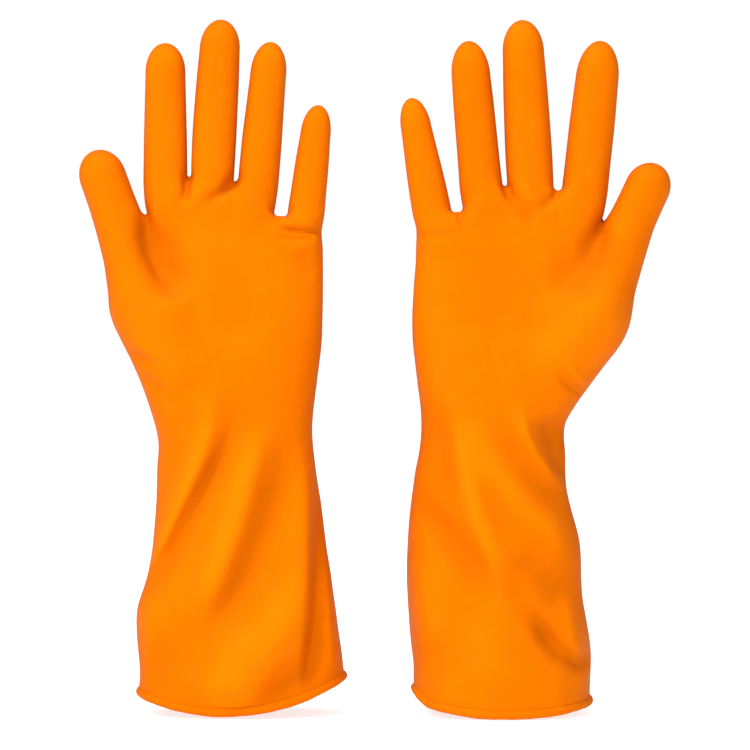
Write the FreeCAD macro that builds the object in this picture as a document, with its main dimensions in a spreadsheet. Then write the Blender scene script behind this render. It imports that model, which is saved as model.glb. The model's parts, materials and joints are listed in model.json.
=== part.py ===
import FreeCAD, Part
import math
import os
import Sketcher

# A pair of dipped latex household gloves, left and right, standing on their cuffs, fingers up.
# Millimetres and degrees.  +Z runs from cuff to fingertips, the palms face -Y, the left glove is
# at -X and both thumbs are on the outside.  The origin is midway between the gloves, level with
# the lowest point of the cuffs.
#
# Each glove is one thin skin with a rolled bead at its cuff, divided where it folds in use: wrist,
# thumb root, thumb joint, and root, middle and tip joint of each finger.  Each segment is a hollow
# shell, notched at its ends so that it can fold.

Vector, Placement, Rotation = FreeCAD.Vector, FreeCAD.Placement, FreeCAD.Rotation

WRIST_LEVEL = 130.6

# Columns of the tables below, as they are named in the spreadsheet.
# Fingers: foot of the axis at the web between the fingers, lean from the vertical towards +X,
# radii, length, and the distances of the three folds along the axis.
FINGER_COLUMNS = ("foot_across", "foot_height", "lean", "root_radius", "tip_radius", "length",
                  "root_fold", "middle_fold", "tip_fold")
THUMB_COLUMNS = ("at", "radius")  # distance along the thumb's axis, radius there
GAUNTLET_COLUMNS = ("height", "across", "halfwidth", "halfdepth")  # z, middle x, half sizes
PALM_COLUMNS = GAUNTLET_COLUMNS + ("forward",)  # the last is the middle y
EDGE_COLUMNS = ("across", "height", "radius")  # cuff edge: an arc seen from the front

GLOVES = {
    "left": {
        "fingers": {
            "index": (-96.4, 243.3, 0.0, 10.4, 8.6, 64.4, 9.5, 28.5, 46.0),
            "middle": (-75.3, 243.3, 3.6, 10.4, 8.9, 75.4, 10.0, 33.0, 53.0),
            "ring": (-54.1, 241.5, 5.5, 9.7, 8.2, 67.0, 10.0, 30.0, 48.0),
            "little": (-31.7, 229.5, 6.8, 8.6, 7.0, 50.0, 7.5, 22.5, 36.0),
        },
        # Axis foot and lean, then top and joint fold along the axis.  The hinge is the line of
        # the root fold: its upper end at the web, its lean, its length.  The hand's notch for it
        # starts fold_start above that end.
        "thumb": {
            "foot_across": -119.1, "foot_height": 229.5, "lean": -19.5, "top": 30.0, "fold": 9.9,
            "hinge_across": -107.2, "hinge_height": 229.5, "hinge_lean": 40.5,
            "hinge_length": 56.0, "fold_start": 0.6,
        },
        "thumb_profile": (
            ("low", -93.6, 12.7), ("rise", -77.6, 13.8), ("ball", -61.1, 16.3),
            ("crest", -45.0, 17.9), ("neck", -34.1, 15.5), ("web", -19.4, 12.7),
            ("shaft", -4.3, 11.3), ("shoulder", 19.3, 10.6),
        ),
        "thenar_stop": -3.9,  # where the hand's part of the thumb skin ends, along the axis
        "palm": (
            ("heel", WRIST_LEVEL, -63.9, 35.0, 23.0, 0.0), ("low", 143.5, -63.5, 36.3, 21.0, -0.5),
            ("middle", 171.1, -64.0, 39.6, 17.0, -1.0), ("high", 203.3, -65.3, 41.4, 14.5, -0.5),
            ("knuckle", 225.4, -65.6, 41.6, 13.0, 0.0), ("crown", 232.8, -65.5, 41.2, 12.0, 0.0),
        ),
        "gauntlet": (
            ("wrist", WRIST_LEVEL, -63.9, 35.0, 23.0), ("upper", 115.0, -63.9, 36.3, 23.6),
            ("forearm", 85.6, -62.6, 39.1, 25.5), ("middle", 56.1, -63.0, 43.7, 28.0),
            ("lower", 30.4, -62.3, 46.7, 30.3), ("cuff", 8.3, -61.4, 48.2, 31.2),
            ("edge", -12.0, -61.2, 48.8, 31.5),
        ),
        "edge": (-69.0, 113.8, 113.0),
    },
    "right": {
        "fingers": {
            "index": (96.4, 239.2, 6.3, 10.6, 9.3, 69.9, 10.0, 31.0, 49.5),
            "middle": (71.5, 241.5, -3.0, 10.8, 9.3, 76.9, 10.0, 34.0, 54.0),
            "ring": (48.8, 241.5, -5.2, 9.8, 8.6, 67.4, 10.0, 30.0, 48.0),
            "little": (26.2, 230.0, -10.6, 9.0, 7.2, 53.3, 8.0, 24.0, 38.5),
        },
        "thumb": {
            "foot_across": 119.6, "foot_height": 229.1, "lean": 25.0, "top": 24.7, "fold": 4.7,
            "hinge_across": 105.8, "hinge_height": 225.4, "hinge_lean": -35.0,
            "hinge_length": 56.0, "fold_start": 2.0,
        },
        "thumb_profile": (
            ("heel", -95.1, 9.6), ("low", -78.8, 13.9), ("rise", -69.8, 15.8),
            ("ball", -55.9, 19.3), ("crest", -44.1, 18.4), ("neck", -33.5, 15.1),
            ("web", -18.3, 12.9), ("shaft", -3.2, 10.7), ("shoulder", 14.4, 10.2),
        ),
        "thenar_stop": -9.0,
        "palm": (
            ("heel", WRIST_LEVEL, 53.4, 32.5, 23.0, 0.0), ("low", 143.5, 53.6, 34.3, 21.0, -0.5),
            ("middle", 171.1, 59.8, 43.2, 17.0, -1.0), ("high", 203.3, 61.9, 43.9, 14.5, -0.5),
            ("knuckle", 225.4, 61.2, 44.6, 13.0, 0.0), ("crown", 232.8, 61.0, 44.0, 12.0, 0.0),
        ),
        "gauntlet": (
            ("wrist", WRIST_LEVEL, 53.4, 32.5, 23.0), ("upper", 115.0, 53.4, 34.1, 24.0),
            ("forearm", 89.2, 53.4, 37.7, 27.0), ("middle", 67.2, 54.7, 40.0, 30.5),
            ("lower", 46.9, 55.5, 40.4, 34.0), ("cuff", 26.7, 58.2, 41.2, 36.4),
            ("edge", -12.0, 57.7, 41.2, 37.5),
        ),
        "edge": (61.3, 182.0, 182.0),
    },
}

RIM_FIRST_SECTION = 3     # the rolled rim follows the gauntlet sections from this one down
FINGER_ROOT_DEPTH = 22.0  # how far a finger's root skin reaches below its foot
THUMB_ROLL = 45.0         # turn of the thumb's joint fold about the thumb's axis
# Cosine and sine at three steps of 22.5 degrees round the thumb's closed end
DOME_STEPS = ((0.9239, 0.3827), (0.7071, 0.7071), (0.3827, 0.9239))

# Sizes of the cutting shapes, large enough to clear the skin.
SECTION_OVERRUN = 0.1     # a hollow past the open end of its tube
HOLLOW_OVERRUN = 1.0      # a hollow past the open end of a finger root or the thenar
NOTCH_HEIGHT = 30.0
FINGER_REACH = 14.0       # notch half depth, in y
WRIST_REACH = 40.0
ROOT_REACH = 40.0
ROOT_WIDTH = 120.0
FINGER_CUT = 60.0         # cut lengths
HAND_CUT = 400.0
EDGE_CUT = 200.0
EDGE_MARGIN = 60.0
NOTCH_SIDE_CLEARANCE = 0.4
HINGE_EXTRA = 20.0
CHAIN_CLEARANCE = 0.5     # profile points nearer below the thumb's joint fold are left out

doc = FreeCAD.newDocument("rubber_gloves")
sheet = doc.addObject("Spreadsheet::Sheet", "dims")


class Dim:
    """A number together with the sheet expression that gives it."""

    def __init__(self, value, text):
        self.value, self.text = value, text

    def __add__(self, other):
        other = dim(other)
        return Dim(self.value + other.value, "(%s + %s)" % (self.text, other.text))

    __radd__ = __add__

    def __sub__(self, other):
        other = dim(other)
        return Dim(self.value - other.value, "(%s - %s)" % (self.text, other.text))

    def __rsub__(self, other):
        return dim(other) - self

    def __mul__(self, other):
        other = dim(other)
        return Dim(self.value * other.value, "(%s * %s)" % (self.text, other.text))

    __rmul__ = __mul__

    def __truediv__(self, other):
        other = dim(other)
        return Dim(self.value / other.value, "(%s / %s)" % (self.text, other.text))

    def __neg__(self):
        return Dim(-self.value, "(0 - %s)" % self.text)

    def driven(self):
        return "dims." in self.text


def dim(number):
    return number if isinstance(number, Dim) else Dim(float(number), "%.6f" % number)


def tan(angle):
    return Dim(math.tan(math.radians(angle.value)), "tan(%s)" % angle.text)


rows_used = 0


def cell(alias, value):
    """Put a driving dimension on the next row of the sheet."""
    global rows_used
    rows_used += 1
    sheet.set("A%d" % rows_used, alias)
    sheet.set("B%d" % rows_used, "%.4f" % value)
    sheet.setAlias("B%d" % rows_used, alias)
    return Dim(round(value, 4), "dims.%s" % alias)


def cells(prefix, columns, values):
    return [cell("%s_%s" % (prefix, column), value) for column, value in zip(columns, values)]


def station_cells(prefix, columns, table):
    """Cells for a table whose rows start with the station's name."""
    return [cells("%s_%s" % (prefix, row[0]), columns, row[1:]) for row in table]


# Driving dimensions shared by both gloves.
wall = cell("wall_thickness", 0.6)
gap = cell("hinge_half_gap", 0.2)
offset = cell("finger_hinge_towards_palm", 2.5)
root_max = cell("finger_root_max_angle", 70.0)
root_min = cell("finger_root_back_angle", 10.0)
middle_max = cell("finger_middle_max_angle", 75.0)
tip_max = cell("finger_tip_max_angle", 45.0)
wrist_max = cell("wrist_max_angle", 45.0)
thumb_max = cell("thumb_root_max_angle", 35.0)
thumb_min = cell("thumb_root_back_angle", 10.0)
thumb_tip_max = cell("thumb_tip_max_angle", 35.0)
spare = cell("notch_spare_angle", 1.0)
bead_height = cell("rolled_rim_height", 4.0)
bead_proud = cell("rolled_rim_proud_of_wall", 1.2)
rim_seam = cell("rolled_rim_seam", 0.02)
wrist_level = cell("wrist_level", WRIST_LEVEL)
thenar_forward = cell("thenar_forward", 3.0)


def half(fold_angle):
    """Each of the two segments at a fold gives half of its angle, and the spare."""
    return fold_angle / 2 + spare


# Notch angles on the palm side and the back side, at a finger's root, middle and tip fold
FINGER_ANGLES = ((half(root_max), half(root_min)), (half(middle_max), spare),
                 (half(tip_max), spare))


# ---------------------------------------------------------------- bodies and sketches
def bind(obj, path, values):
    for key, value in zip("xyz", values):
        if value.driven():
            obj.setExpression(path + key, value.text)


def new_body(label, base=(0, 0, 0), lean=0.0):
    """A sub-part.  Its own Z leans from the vertical towards +X."""
    body = doc.addObject("PartDesign::Body", label)
    body.Label = label
    base = [dim(b) for b in base]
    body.Placement = Placement(Vector(*[b.value for b in base]), Rotation(Vector(0, 1, 0), lean))
    bind(body, "Placement.Base.", base)
    return body


def new_sketch(body, name, plane, shift=(0, 0, 0), turn_axis=(0, 0, 1), turn=0.0):
    sketch = body.newObject("Sketcher::SketchObject", name)
    support = next(f for f in body.Origin.OriginFeatures if f.Role == plane)
    sketch.AttachmentSupport = (support, [""])
    sketch.MapMode = "FlatFace"
    shift = [dim(b) for b in shift]
    sketch.AttachmentOffset = Placement(Vector(*[b.value for b in shift]),
                                        Rotation(Vector(*turn_axis), turn))
    bind(sketch, "AttachmentOffset.Base.", shift)
    return sketch


def line(sketch, start, end):
    start, end = [Vector(dim(x).value, dim(y).value, 0) for x, y in (start, end)]
    return sketch.addGeometry(Part.LineSegment(start, end), False)


def arc(sketch, x, y, radius, start, end):
    full = Part.Circle(Vector(x, y, 0), Vector(0, 0, 1), radius)
    return sketch.addGeometry(Part.ArcOfCircle(full, start, end), False)


def join(sketch, *joints):
    for joint in joints:
        sketch.addConstraint(Sketcher.Constraint("Coincident", *joint))


def measure(sketch, value, *terms):
    """A dimension, driven by the sheet where its value is."""
    number = sketch.addConstraint(Sketcher.Constraint(*terms, value.value))
    if value.driven():
        name = "d%d" % number
        sketch.renameConstraint(number, name)
        sketch.setExpression("Constraints." + name, value.text)


def fix(sketch, kind, geo, pos, value):
    """The DistanceX or DistanceY of a point from the sketch origin."""
    value = dim(value)
    if value.value == 0 and not value.driven():
        axis = -2 if kind == "DistanceX" else -1
        sketch.addConstraint(Sketcher.Constraint("PointOnObject", geo, pos, axis))
    else:
        measure(sketch, value, kind, geo, pos)


def fix_point(sketch, geo, pos, x, y):
    fix(sketch, "DistanceX", geo, pos, x)
    fix(sketch, "DistanceY", geo, pos, y)


def polygon(sketch, points):
    """A closed outline, drawn first in its sketch."""
    count = len(points)
    for i in range(count):
        line(sketch, points[i], points[(i + 1) % count])
    for i in range(count):
        join(sketch, (i, 2, (i + 1) % count, 1))
        fix_point(sketch, i, 1, *points[i])


def circle(sketch, x, y, radius):
    centre = Vector(x.value, y.value, 0)
    geo = sketch.addGeometry(Part.Circle(centre, Vector(0, 0, 1), radius.value), False)
    fix_point(sketch, geo, 3, x, y)
    measure(sketch, radius, "Radius", geo)


def oblong(body, name, level, middle_x, half_width, half_depth, middle_y=0):
    """A level section of the skin: flat front and back joined by round sides."""
    sketch = new_sketch(body, name, "XY_Plane", (0, 0, level))
    straight = half_width - half_depth
    high_x, low_x = middle_x + straight, middle_x - straight
    y, radius = dim(middle_y).value, half_depth.value
    quarter = math.pi / 2
    right = arc(sketch, high_x.value, y, radius, -quarter, quarter)
    back = line(sketch, (high_x, y + radius), (low_x, y + radius))
    left = arc(sketch, low_x.value, y, radius, quarter, 3 * quarter)
    front = line(sketch, (low_x, y - radius), (high_x, y - radius))
    join(sketch, (right, 2, back, 1), (back, 2, left, 1), (left, 2, front, 1),
         (front, 2, right, 1))
    for geo, centre in ((right, high_x), (left, low_x)):
        fix_point(sketch, geo, 3, centre, middle_y)
        measure(sketch, half_depth, "Radius", geo)
        for end in (1, 2):
            sketch.addConstraint(Sketcher.Constraint("Vertical", geo, 3, geo, end))
    return sketch


# ---------------------------------------------------------------- features
def loft(body, name, section_name, stations, grow=0, cut=False):
    """A tube through oblong sections, each grown by the same amount all round."""
    sections = [oblong(body, "%s_%d" % (section_name, i), z, middle_x,
                       half_width + grow, half_depth + grow, *middle_y)
                for i, (z, middle_x, half_width, half_depth, *middle_y) in enumerate(stations)]
    kind = "PartDesign::SubtractiveLoft" if cut else "PartDesign::AdditiveLoft"
    feature = body.newObject(kind, name)
    feature.Profile = sections[0]
    feature.Sections = sections[1:]
    feature.Ruled = False


def with_ends_moved(stations, first, last):
    """A copy of the stations with the heights of the end ones changed."""
    moved = [list(row) for row in stations]
    moved[0][0] += first
    moved[-1][0] += last
    return moved


def revolve(body, name, sketch, cut=False):
    feature = body.newObject("PartDesign::Groove" if cut else "PartDesign::Revolution", name)
    feature.Profile = sketch
    feature.ReferenceAxis = (sketch, ["V_Axis"])
    feature.Angle = 360.0


def slot_cut(body, name, sketch, length, symmetric=True):
    """A pocket through the skin, both ways from its sketch unless one way is asked for."""
    length = dim(length)
    feature = body.newObject("PartDesign::Pocket", name)
    feature.Profile = sketch
    feature.Type = "Length"
    feature.Length = length.value
    if length.driven():
        feature.setExpression("Length", length.text)
    feature.SideType = "Symmetric" if symmetric else "One side"


def cut_fold(body, where, outline, length, plane="YZ_Plane", symmetric=True, **attachment):
    sketch = new_sketch(body, where + "_fold", plane, **attachment)
    polygon(sketch, outline)
    slot_cut(body, where + "_notch", sketch, length, symmetric)


def notch(level, palm_angle, back_angle, above, hinge_y=-offset, reach=FINGER_REACH):
    """Outline in (y, z) of what is cut away at a fold: all beyond two planes that meet at the
    fold's axis.  The segment being cut lies above the fold or below it."""
    sign = 1 if above else -1
    palm_rise = (reach + hinge_y) * tan(palm_angle) + gap
    back_rise = (reach - hinge_y) * tan(back_angle) + gap
    far = level - sign * NOTCH_HEIGHT
    return [(-reach, far), (-reach, level + sign * palm_rise), (hinge_y, level + sign * gap),
            (reach, level + sign * back_rise), (reach, far)]


def cut_wrist(body, above):
    angle = half(wrist_max)
    cut_fold(body, "wrist", notch(wrist_level, angle, angle, above, 0, WRIST_REACH), HAND_CUT)


def thumb_root_notch(toward):
    """Outline of what is cut away at the thumb's root fold, seen along the fold.  The segment
    being cut lies on the toward side, +1 or -1 in x; the palm side is at -y."""
    front = gap + ROOT_REACH * tan(half(thumb_max))
    rear = gap + ROOT_REACH * tan(half(thumb_min))
    return [(-toward * ROOT_WIDTH, -ROOT_REACH), (toward * front, -ROOT_REACH),
            (toward * gap, 0), (toward * rear, ROOT_REACH), (-toward * ROOT_WIDTH, ROOT_REACH)]


# ---------------------------------------------------------------- fingers
def finger_radius(finger, at):
    """Radius on the straight taper from the foot to the shoulder of the tip."""
    root, tip = finger["root_radius"], finger["tip_radius"]
    return root - (root - tip) * at / (finger["length"] - tip)


def closed_tip(sketch, finger, low):
    """Wall outline of a fingertip: a straight taper that runs into a half ball."""
    r_low, r_tip = finger_radius(finger, low), finger["tip_radius"]
    shoulder = finger["length"] - r_tip
    top = shoulder + r_tip
    quarter = math.pi / 2
    side = line(sketch, (r_low, low), (r_tip, shoulder))
    outer = arc(sketch, 0, shoulder.value, r_tip.value, 0, quarter)
    crown = line(sketch, (0, top), (0, top - wall))
    inner = arc(sketch, 0, shoulder.value, (r_tip - wall).value, 0, quarter)
    inner_side = line(sketch, (r_tip - wall, shoulder), (r_low - wall, low))
    foot = line(sketch, (r_low - wall, low), (r_low, low))
    join(sketch, (side, 2, outer, 1), (outer, 2, crown, 1), (crown, 2, inner, 2),
         (inner, 1, inner_side, 1), (inner_side, 2, foot, 1), (foot, 2, side, 1))
    fix_point(sketch, side, 1, r_low, low)
    fix_point(sketch, inner_side, 2, r_low - wall, low)
    for geo, radius in ((outer, r_tip), (inner, r_tip - wall)):
        fix_point(sketch, geo, 1, radius, shoulder)
        fix_point(sketch, geo, 3, 0, shoulder)
        fix(sketch, "DistanceX", geo, 2, 0)


def finger_segments(name, finger):
    folds = (finger["root_fold"], finger["middle_fold"], finger["tip_fold"])
    for k, part in enumerate(("base", "middle", "tip")):
        body = new_body("%s_%s" % (name, part), (finger["foot_across"], 0, finger["foot_height"]),
                        finger["lean"].value)
        low = folds[k]
        sketch = new_sketch(body, "wall", "XZ_Plane")
        if part == "tip":
            closed_tip(sketch, finger, low)
        else:
            high = folds[k + 1]
            r_low, r_high = finger_radius(finger, low), finger_radius(finger, high)
            polygon(sketch, [(r_low, low), (r_high, high), (r_high - wall, high),
                             (r_low - wall, low)])
        revolve(body, "skin", sketch)
        cut_fold(body, "foot", notch(low, *FINGER_ANGLES[k], above=True), FINGER_CUT)
        if part != "tip":
            cut_fold(body, "head", notch(high, *FINGER_ANGLES[k + 1], above=False), FINGER_CUT)


# ---------------------------------------------------------------- thumb
def thumb_radius(profile, at):
    """Radius on the straight line between two profile points."""
    for (at_a, radius_a), (at_b, radius_b) in zip(profile, profile[1:]):
        if at_a.value <= at.value <= at_b.value:
            return radius_a + (radius_b - radius_a) * (at - at_a) / (at_b - at_a)
    raise ValueError(at.value)


def thumb_body(label, thumb):
    return new_body(label, (thumb["foot_across"], -thenar_forward, thumb["foot_height"]),
                    thumb["lean"].value)


def cut_thumb_joint(body, where, thumb, sign, above):
    cut_fold(body, where, notch(thumb["fold"], half(thumb_tip_max), spare, above), FINGER_CUT,
             turn_axis=(0, 1, 0), turn=-THUMB_ROLL * sign)


def thumb_tip(side, sign, thumb, profile):
    """The skin beyond the thumb's joint fold, with a closed end flatter than a half ball where
    the thumb is short."""
    fold, top = thumb["fold"], thumb["top"]
    r_fold = thumb_radius(profile, fold)
    shoulder, radius = profile[-1]
    rise = top - shoulder

    def dome(across, up):
        return [(across * cosine, shoulder + up * sine) for cosine, sine in DOME_STEPS]

    body = thumb_body("%s_thumb_tip" % side, thumb)
    sketch = new_sketch(body, "wall", "XZ_Plane")
    polygon(sketch, [(r_fold, fold), (radius, shoulder)] + dome(radius, rise)
            + [(0, top), (0, top - wall)] + dome(radius - wall, rise - wall)[::-1]
            + [(radius - wall, shoulder), (r_fold - wall, fold)])
    revolve(body, "skin", sketch)
    cut_thumb_joint(body, "foot", thumb, sign, above=True)


def thumb_base(side, sign, thumb, profile):
    """The thumb up to its joint fold, and the outer side of the ball of the thumb."""
    fold = thumb["fold"]
    r_fold = thumb_radius(profile, fold)
    body = thumb_body("%s_thumb_base" % side, thumb)
    sketch = new_sketch(body, "wall", "XZ_Plane")
    chain = [p for p in profile if p[0].value < fold.value - CHAIN_CLEARANCE]
    polygon(sketch, [(r, at) for at, r in chain] + [(r_fold, fold), (r_fold - wall, fold)]
            + [(r - wall, at) for at, r in reversed(chain)])
    revolve(body, "skin", sketch)
    cut_thumb_joint(body, "head", thumb, sign, above=False)
    # The root fold slants from the web down to the outer side; its upper end in the body's frame:
    lean = math.radians(thumb["lean"].value)
    across = thumb["hinge_across"].value - thumb["foot_across"].value
    up = thumb["hinge_height"].value - thumb["foot_height"].value
    local_x = across * math.cos(lean) - up * math.sin(lean)
    local_z = across * math.sin(lean) + up * math.cos(lean)
    cut_fold(body, "root", thumb_root_notch(sign), HAND_CUT, "XY_Plane",
             shift=(local_x, -offset, local_z), turn_axis=(0, 1, 0),
             turn=thumb["hinge_lean"].value - thumb["lean"].value)


# ---------------------------------------------------------------- hand
def thenar_sketch(body, name, thumb, profile, inset, top):
    """Half outline of the ball of the thumb, closed below, up to top along the thumb's axis."""
    sketch = new_sketch(body, name, "XZ_Plane",
                        (thumb["foot_across"], thumb["foot_height"], thenar_forward),
                        turn=-thumb["lean"].value)
    (first_at, first_radius), *chain = [p for p in profile if p[0].value < top.value]
    polygon(sketch, [(0, first_at + inset), (first_radius - inset, first_at + inset)]
            + [(r - inset, at) for at, r in chain]
            + [(thumb_radius(profile, top) - inset, top), (0, top)])
    return sketch


def root_sketch(body, name, finger, inset, high):
    """Half outline of a finger root: straight below the foot, tapered above it."""
    sketch = new_sketch(body, name, "XZ_Plane", (finger["foot_across"], finger["foot_height"], 0),
                        turn=-finger["lean"].value)
    low = inset - FINGER_ROOT_DEPTH
    r_low = finger["root_radius"] - inset
    r_high = finger_radius(finger, high) - inset
    polygon(sketch, [(0, low), (r_low, low), (r_low, 0), (r_high, high), (0, high)])
    return sketch


def hand(side, sign, palm, thumb, profile, fingers, thenar_stop):
    """Palm, back, finger roots and ball of the thumb."""
    body = new_body("%s_hand" % side)
    # All the outer shapes come before the hollows, so that the hollows run into one another.
    loft(body, "palm_skin", "palm_outer", palm)
    revolve(body, "thenar_skin",
            thenar_sketch(body, "thenar_outer", thumb, profile, 0, thenar_stop))
    for name, finger in fingers.items():
        revolve(body, name + "_root_skin",
                root_sketch(body, name + "_root_outer", finger, 0, finger["root_fold"]))

    loft(body, "palm_hollow", "palm_inner", with_ends_moved(palm, -SECTION_OVERRUN, -wall),
         grow=-wall, cut=True)
    revolve(body, "thenar_hollow",
            thenar_sketch(body, "thenar_inner", thumb, profile, wall,
                          thenar_stop + HOLLOW_OVERRUN), cut=True)
    for name, finger in fingers.items():
        revolve(body, name + "_root_hollow",
                root_sketch(body, name + "_root_inner", finger, wall,
                            finger["root_fold"] + HOLLOW_OVERRUN), cut=True)

    for name, finger in fingers.items():
        cut_fold(body, name, notch(finger["root_fold"], *FINGER_ANGLES[0], above=False),
                 (finger["root_radius"] + NOTCH_SIDE_CLEARANCE) * 2,
                 shift=(0, finger["foot_height"], finger["foot_across"]),
                 turn_axis=(1, 0, 0), turn=finger["lean"].value)
    # The thumb's root fold is cut from just above the web downwards.
    start, hinge_lean = thumb["fold_start"], thumb["hinge_lean"].value
    start_x = thumb["hinge_across"] + math.tan(math.radians(hinge_lean)) * start
    cut_fold(body, "thumb", thumb_root_notch(-sign), thumb["hinge_length"] + HINGE_EXTRA,
             "XY_Plane", symmetric=False,
             shift=(start_x, -offset - thenar_forward, thumb["hinge_height"] + start),
             turn_axis=(0, 1, 0), turn=hinge_lean)
    cut_wrist(body, above=True)


# ---------------------------------------------------------------- gauntlet and rolled rim
def hollow_tube(body, name, stations, proud=0):
    """A tube proud of the skin by the same amount outside and inside."""
    loft(body, name, "outer", stations, grow=proud)
    loft(body, "hollow", "inner", with_ends_moved(stations, SECTION_OVERRUN, -SECTION_OVERRUN),
         grow=-wall - proud, cut=True)


def trim_to_arc(body, sketch_name, cut_name, edge, radius, keep_inside):
    """Cut away what lies outside a circle seen from the front, or what lies inside it."""
    x, z, edge_radius = edge
    sketch = new_sketch(body, sketch_name, "XZ_Plane")
    if keep_inside:
        far = edge_radius + EDGE_MARGIN
        polygon(sketch, [(x - far, z - far), (x + far, z - far), (x + far, z + far),
                         (x - far, z + far)])
    circle(sketch, x, z, radius)
    slot_cut(body, cut_name, sketch, EDGE_CUT)


def gauntlet(side, stations, edge):
    body = new_body("%s_gauntlet" % side)
    hollow_tube(body, "skin", stations)
    trim_to_arc(body, "edge", "edge_trim", edge, edge[2] - bead_height - rim_seam, True)
    cut_wrist(body, above=False)


def rolled_rim(side, stations, edge):
    body = new_body("%s_rolled_rim" % side)
    hollow_tube(body, "roll", stations[RIM_FIRST_SECTION:], bead_proud)
    trim_to_arc(body, "lower_edge", "lower_trim", edge, edge[2], True)
    trim_to_arc(body, "upper_edge", "upper_trim", edge, edge[2] - bead_height, False)


# ---------------------------------------------------------------- both gloves
for side, glove in GLOVES.items():
    sign = -1 if side == "left" else 1  # the side of the hand its thumb is on, in x
    fingers = {}
    for name, numbers in glove["fingers"].items():
        values = cells("%s_%s" % (side, name), FINGER_COLUMNS, numbers)
        fingers[name] = dict(zip(FINGER_COLUMNS, values))
        finger_segments("%s_%s" % (side, name), fingers[name])

    thumb = {key: cell("%s_thumb_%s" % (side, key), value)
             for key, value in glove["thumb"].items()}
    profile = station_cells(side + "_thumb", THUMB_COLUMNS, glove["thumb_profile"])
    thumb_tip(side, sign, thumb, profile)
    thumb_base(side, sign, thumb, profile)

    palm = station_cells(side + "_palm", PALM_COLUMNS, glove["palm"])
    thenar_stop = cell("%s_thenar_stop" % side, glove["thenar_stop"])
    hand(side, sign, palm, thumb, profile, fingers, thenar_stop)

    tube = station_cells(side + "_gauntlet", GAUNTLET_COLUMNS, glove["gauntlet"])
    edge = cells(side + "_edge", EDGE_COLUMNS, glove["edge"])
    gauntlet(side, tube, edge)
    rolled_rim(side, tube, edge)

doc.recompute()
for obj in doc.Objects:
    if "Invalid" in obj.State or "Error" in obj.State:
        owners = [parent.Label for parent in obj.InList]
        raise RuntimeError("%s of %s failed: %s" % (obj.Name, owners, obj.getStatusString()))

bodies = [obj for obj in doc.Objects if obj.TypeId == "PartDesign::Body"]
for body in bodies:
    shape = body.Shape
    if shape.isNull() or not shape.isValid() or len(shape.Solids) != 1:
        raise RuntimeError("%s is not one valid solid (%d solids)"
                           % (body.Label, len(shape.Solids)))
os.makedirs("parts", exist_ok=True)
for body in bodies:
    body.Shape.exportStep("parts/%s.step" % body.Label)
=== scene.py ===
"""A pair of latex gauntlet gloves that stand on their rolled rims with the fingers up.

The gloves stand side by side along x: the left one at -x, the right one at +x, thumbs on the
outer sides. The front, with the palms, faces -y and z is up. The scene is in metres; the
gloves are worked out in millimetres, and leans are in degrees, positive towards +x.

Each glove is one smooth field: negative inside the form, zero on its skin. The skin is netted
with quads, cut where the frame's joints need it, and each patch is closed into a thin shell.
"""

import json
import math

import bmesh
import bpy
import numpy as np
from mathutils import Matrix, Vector


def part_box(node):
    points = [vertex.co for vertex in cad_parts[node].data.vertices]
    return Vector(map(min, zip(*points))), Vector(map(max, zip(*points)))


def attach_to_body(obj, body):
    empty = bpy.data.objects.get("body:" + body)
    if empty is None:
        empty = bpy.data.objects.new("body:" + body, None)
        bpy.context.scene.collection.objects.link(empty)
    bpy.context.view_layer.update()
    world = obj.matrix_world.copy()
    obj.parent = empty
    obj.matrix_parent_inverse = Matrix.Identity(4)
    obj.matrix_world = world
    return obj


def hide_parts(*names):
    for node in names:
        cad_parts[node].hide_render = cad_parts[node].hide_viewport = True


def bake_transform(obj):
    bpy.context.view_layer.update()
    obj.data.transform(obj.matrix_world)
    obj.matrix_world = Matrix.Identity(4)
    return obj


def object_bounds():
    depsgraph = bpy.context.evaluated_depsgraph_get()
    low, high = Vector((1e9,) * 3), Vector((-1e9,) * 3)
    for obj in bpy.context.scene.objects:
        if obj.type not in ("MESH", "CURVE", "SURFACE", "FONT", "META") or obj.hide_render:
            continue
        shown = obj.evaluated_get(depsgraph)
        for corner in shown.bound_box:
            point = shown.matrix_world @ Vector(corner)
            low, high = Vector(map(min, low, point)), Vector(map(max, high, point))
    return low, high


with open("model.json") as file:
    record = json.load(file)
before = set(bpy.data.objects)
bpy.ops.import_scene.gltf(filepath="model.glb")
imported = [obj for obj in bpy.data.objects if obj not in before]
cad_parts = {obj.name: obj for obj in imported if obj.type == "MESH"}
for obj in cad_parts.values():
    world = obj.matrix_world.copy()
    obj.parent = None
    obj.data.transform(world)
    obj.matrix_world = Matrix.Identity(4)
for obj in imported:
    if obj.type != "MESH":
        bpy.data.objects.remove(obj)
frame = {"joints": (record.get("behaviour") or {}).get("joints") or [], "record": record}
cad_lo, cad_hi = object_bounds()
JOINTS = {joint["name"]: joint for joint in frame["joints"]}

# ---------------------------------------------------------------- sizes, in millimetres
WALL = 0.7  # thickness of the rubber
VOXEL = 1.15  # cell of the grid that the skin is netted on
GRID_SHIFT = 0.37  # keeps the grid's planes off the round numbers of the shape
GRID_Y = (-42.0, 42.0)
GRID_Z = (-6.0, 322.0)
FOLD_STEP = 0.5  # spacing of the tables that hold the folds
FOLD_Z = (-20.0, 330.0)

HEM_RISE = 2.0  # from the lower edge of the rim to its core, where the skin ends
WRIST_HALF = 16.0  # half the height of the stretch that bends at the wrist
FINGER_START = -24.0  # lower end of a finger's rod, inside the palm
CLEFT_HALF = 0.72  # half width of the gap between neighbouring fingers
HINGE_FORWARD = 2.5  # the thumb's joint sits this far in front of its axis
THUMB_CUT_BELOW = 4.7  # from the thumb's fold down to the cut between its two pieces

FINGERS = ("index", "middle", "ring", "little")

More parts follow.
